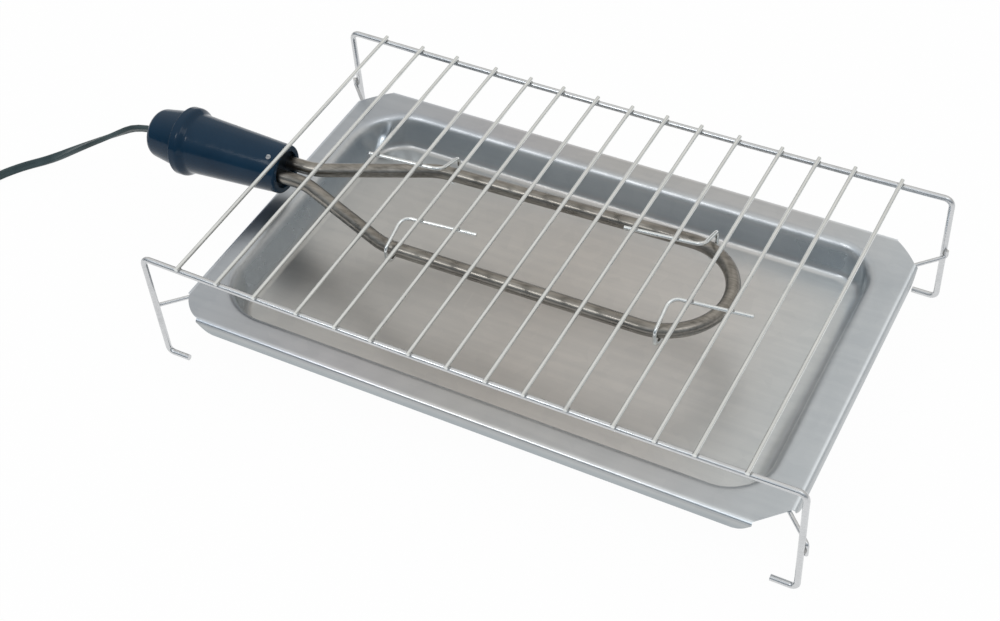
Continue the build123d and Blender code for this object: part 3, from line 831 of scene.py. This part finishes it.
def moulded_plastic(name, dark, light, rough, grain=plastic_grain, relief=plastic_relief):
    """Moulded plastic with a slight cloud in its colour, fine grain and handling marks."""
    finish = Finish(name)
    finish.set("Specular IOR Level", plastic_shine)
    cloud = finish.noise(plastic_clouds, detail=4)
    fine = finish.noise(grain, detail=2)
    scuffs = finish.noise(plastic_scuffs, plastic_scuff_stretch, detail=5, roughness=0.65)
    finish.colour(finish.ramp(cloud, [(0.3, dark), (0.7, light)]))
    finish.rough(finish.spread(scuffs, low=rough - 0.05, high=rough + 0.12, start=0.4, end=0.75))
    finish.bump(fine, relief, strength=0.5)
    return finish.material


def powder(name, dark, light):
    """Unglazed ceramic or packed powder."""
    finish = Finish(name)
    grain = finish.noise(powder_grain, detail=3)
    finish.colour(finish.ramp(grain, [(0.3, dark), (0.7, light)]))
    finish.rough(finish.spread(grain, low=0.75, high=0.95))
    finish.bump(grain, powder_relief, strength=0.6)
    return finish.material


finishes = {
    "rack_wire": wire_metal("rack_wire_metal", (0.46, 0.47, 0.475), (0.68, 0.69, 0.70), 0.26, along_x),
    "cross_wire": wire_metal("cross_wire_metal", (0.56, 0.58, 0.575), (0.80, 0.82, 0.81), 0.22, along_y),
    "tray_sheet": tray_metal(),
    "element_steel": element_metal(),
    "insulation": powder("insulation_powder", (0.74, 0.73, 0.69), (0.90, 0.89, 0.86)),
    "heating_alloy": wire_metal("alloy_metal", (0.28, 0.27, 0.26), (0.52, 0.51, 0.49), 0.38, along_x),
    "ceramic": powder("ceramic_body", (0.78, 0.75, 0.68), (0.92, 0.90, 0.85)),
    "ferrule_metal": wire_metal(
        "ferrule_metal", (0.008, 0.016, 0.028), (0.018, 0.032, 0.050), 0.45, along_y
    ),
    "handle_plastic": moulded_plastic(
        "handle_gloss", (0.005, 0.026, 0.055), (0.008, 0.034, 0.068), 0.17
    ),
    "screw_steel": wire_metal("screw_metal", (0.22, 0.23, 0.24), (0.42, 0.43, 0.44), 0.32, along_x),
    "terminal_brass": wire_metal("brass_metal", (0.45, 0.31, 0.12), (0.78, 0.60, 0.30), 0.30, along_x),
    "grip_plastic": moulded_plastic("grip_nylon", (0.020, 0.020, 0.022), (0.045, 0.045, 0.048), 0.45),
    "cord_sheath": moulded_plastic(
        "cord_skin", (0.030, 0.048, 0.051), (0.074, 0.106, 0.112), 0.40, cord_grain, cord_relief
    ),
    "tie_plastic": moulded_plastic("tie_nylon", (0.010, 0.010, 0.010), (0.030, 0.030, 0.031), 0.42),
    "plug_plastic": moulded_plastic("plug_gloss", (0.010, 0.011, 0.012), (0.026, 0.028, 0.031), 0.28),
    "plug_pin_metal": wire_metal("pin_metal", (0.50, 0.47, 0.42), (0.78, 0.75, 0.70), 0.22, along_y),
}


def dress(piece, material):
    """Give a piece one material on all its faces."""
    piece.data.materials.clear()
    piece.data.materials.append(material)


for part in frame["record"]["subparts"]:
    dress(nodes[part["node"]], finishes[part["material_slot"]])
dress(mains_cord, finishes["cord_sheath"])
dress(plug_relief, finishes["plug_plastic"])
dress(tray_sheet, finishes["tray_sheet"])
dress(weld_nuggets, wire_metal("weld_metal", (0.22, 0.22, 0.22), (0.42, 0.42, 0.41), 0.45, all_ways))


# Floor: pale, white to the camera and in reflections, and it keeps part of the shadow
def floor_material():
    """Paint for most rays, and white for those that the camera or a glossy face sends."""
    material = bpy.data.materials.new("floor_white")
    material.use_nodes = True
    tree = material.node_tree
    tree.nodes.clear()
    rays = tree.nodes.new("ShaderNodeLightPath")
    seen = rays.outputs["Is Camera Ray"]
    for kind in ("Is Glossy Ray", "Is Transmission Ray"):
        either = tree.nodes.new("ShaderNodeMath")
        either.operation = "MAXIMUM"
        tree.links.new(seen, either.inputs[0])
        tree.links.new(rays.outputs[kind], either.inputs[1])
        seen = either.outputs[0]
    part = tree.nodes.new("ShaderNodeMath")
    part.operation = "MULTIPLY"
    part.inputs[1].default_value = floor_white_share
    tree.links.new(seen, part.inputs[0])
    paint = tree.nodes.new("ShaderNodeBsdfDiffuse")
    paint.inputs["Color"].default_value = floor_paint
    glow = tree.nodes.new("ShaderNodeEmission")
    mix = tree.nodes.new("ShaderNodeMixShader")
    output = tree.nodes.new("ShaderNodeOutputMaterial")
    tree.links.new(part.outputs[0], mix.inputs[0])
    tree.links.new(paint.outputs[0], mix.inputs[1])
    tree.links.new(glow.outputs[0], mix.inputs[2])
    tree.links.new(mix.outputs[0], output.inputs["Surface"])
    return material


half_floor = floor_size / 2
floor_corners = [
    (-half_floor, -half_floor, 0),
    (half_floor, -half_floor, 0),
    (half_floor, half_floor, 0),
    (-half_floor, half_floor, 0),
]
floor = mesh_object("floor", [(0, 1, 2, 3)], floor_corners)
dress(floor, floor_material())


# Light: a pale room, warm at the rear and cool and dark towards the horizon in front, and two soft lamps
rear_sky = [
    (0.0, (0.42, 0.43, 0.44)),
    (0.15, (0.48, 0.48, 0.48)),
    (0.42, (0.76, 0.74, 0.71)),
    (0.75, (0.88, 0.86, 0.83)),
    (1.0, (0.94, 0.94, 0.93)),
]
front_sky = [
    (0.0, (0.12, 0.14, 0.16)),
    (0.25, (0.20, 0.23, 0.26)),
    (0.55, (0.50, 0.56, 0.62)),
    (0.8, (0.80, 0.84, 0.88)),
    (1.0, (0.94, 0.94, 0.93)),
]


def make_world():
    """A sky that blends from the front's colours to the rear's."""
    world = bpy.data.worlds.new("studio")
    world.use_nodes = True
    tree = world.node_tree
    coords = tree.nodes.new("ShaderNodeTexCoord")
    split = tree.nodes.new("ShaderNodeSeparateXYZ")
    tree.links.new(coords.outputs["Generated"], split.inputs[0])
    turn = tree.nodes.new("ShaderNodeMapRange")
    turn.interpolation_type = "SMOOTHSTEP"
    turn.inputs["From Min"].default_value = -sky_turn
    turn.inputs["From Max"].default_value = sky_turn
    tree.links.new(split.outputs["Y"], turn.inputs["Value"])
    mix = tree.nodes.new("ShaderNodeMix")
    mix.data_type = "RGBA"
    tree.links.new(turn.outputs["Result"], mix.inputs[mix_share])
    for stops, socket in ((front_sky, mix_first), (rear_sky, mix_second)):
        ramp = tree.nodes.new("ShaderNodeValToRGB")
        fill_ramp(ramp, stops)
        tree.links.new(split.outputs["Z"], ramp.inputs["Fac"])
        tree.links.new(ramp.outputs["Color"], mix.inputs[socket])
    tree.links.new(mix.outputs[mix_result], tree.nodes["Background"].inputs["Color"])
    scene.world = world


def add_lamp(name, energy, size, place):
    """A square lamp that points at the middle of the tray."""
    lamp = add_object(name, bpy.data.lights.new(name, "AREA"))
    lamp.data.energy = energy
    lamp.data.size = size
    lamp.location = place
    lamp.rotation_euler = (tray_middle - lamp.location).to_track_quat("-Z", "Y").to_euler()


make_world()
add_lamp("key_lamp", key_energy, key_size, key_place)
add_lamp("fill_lamp", fill_energy, fill_size, fill_place)
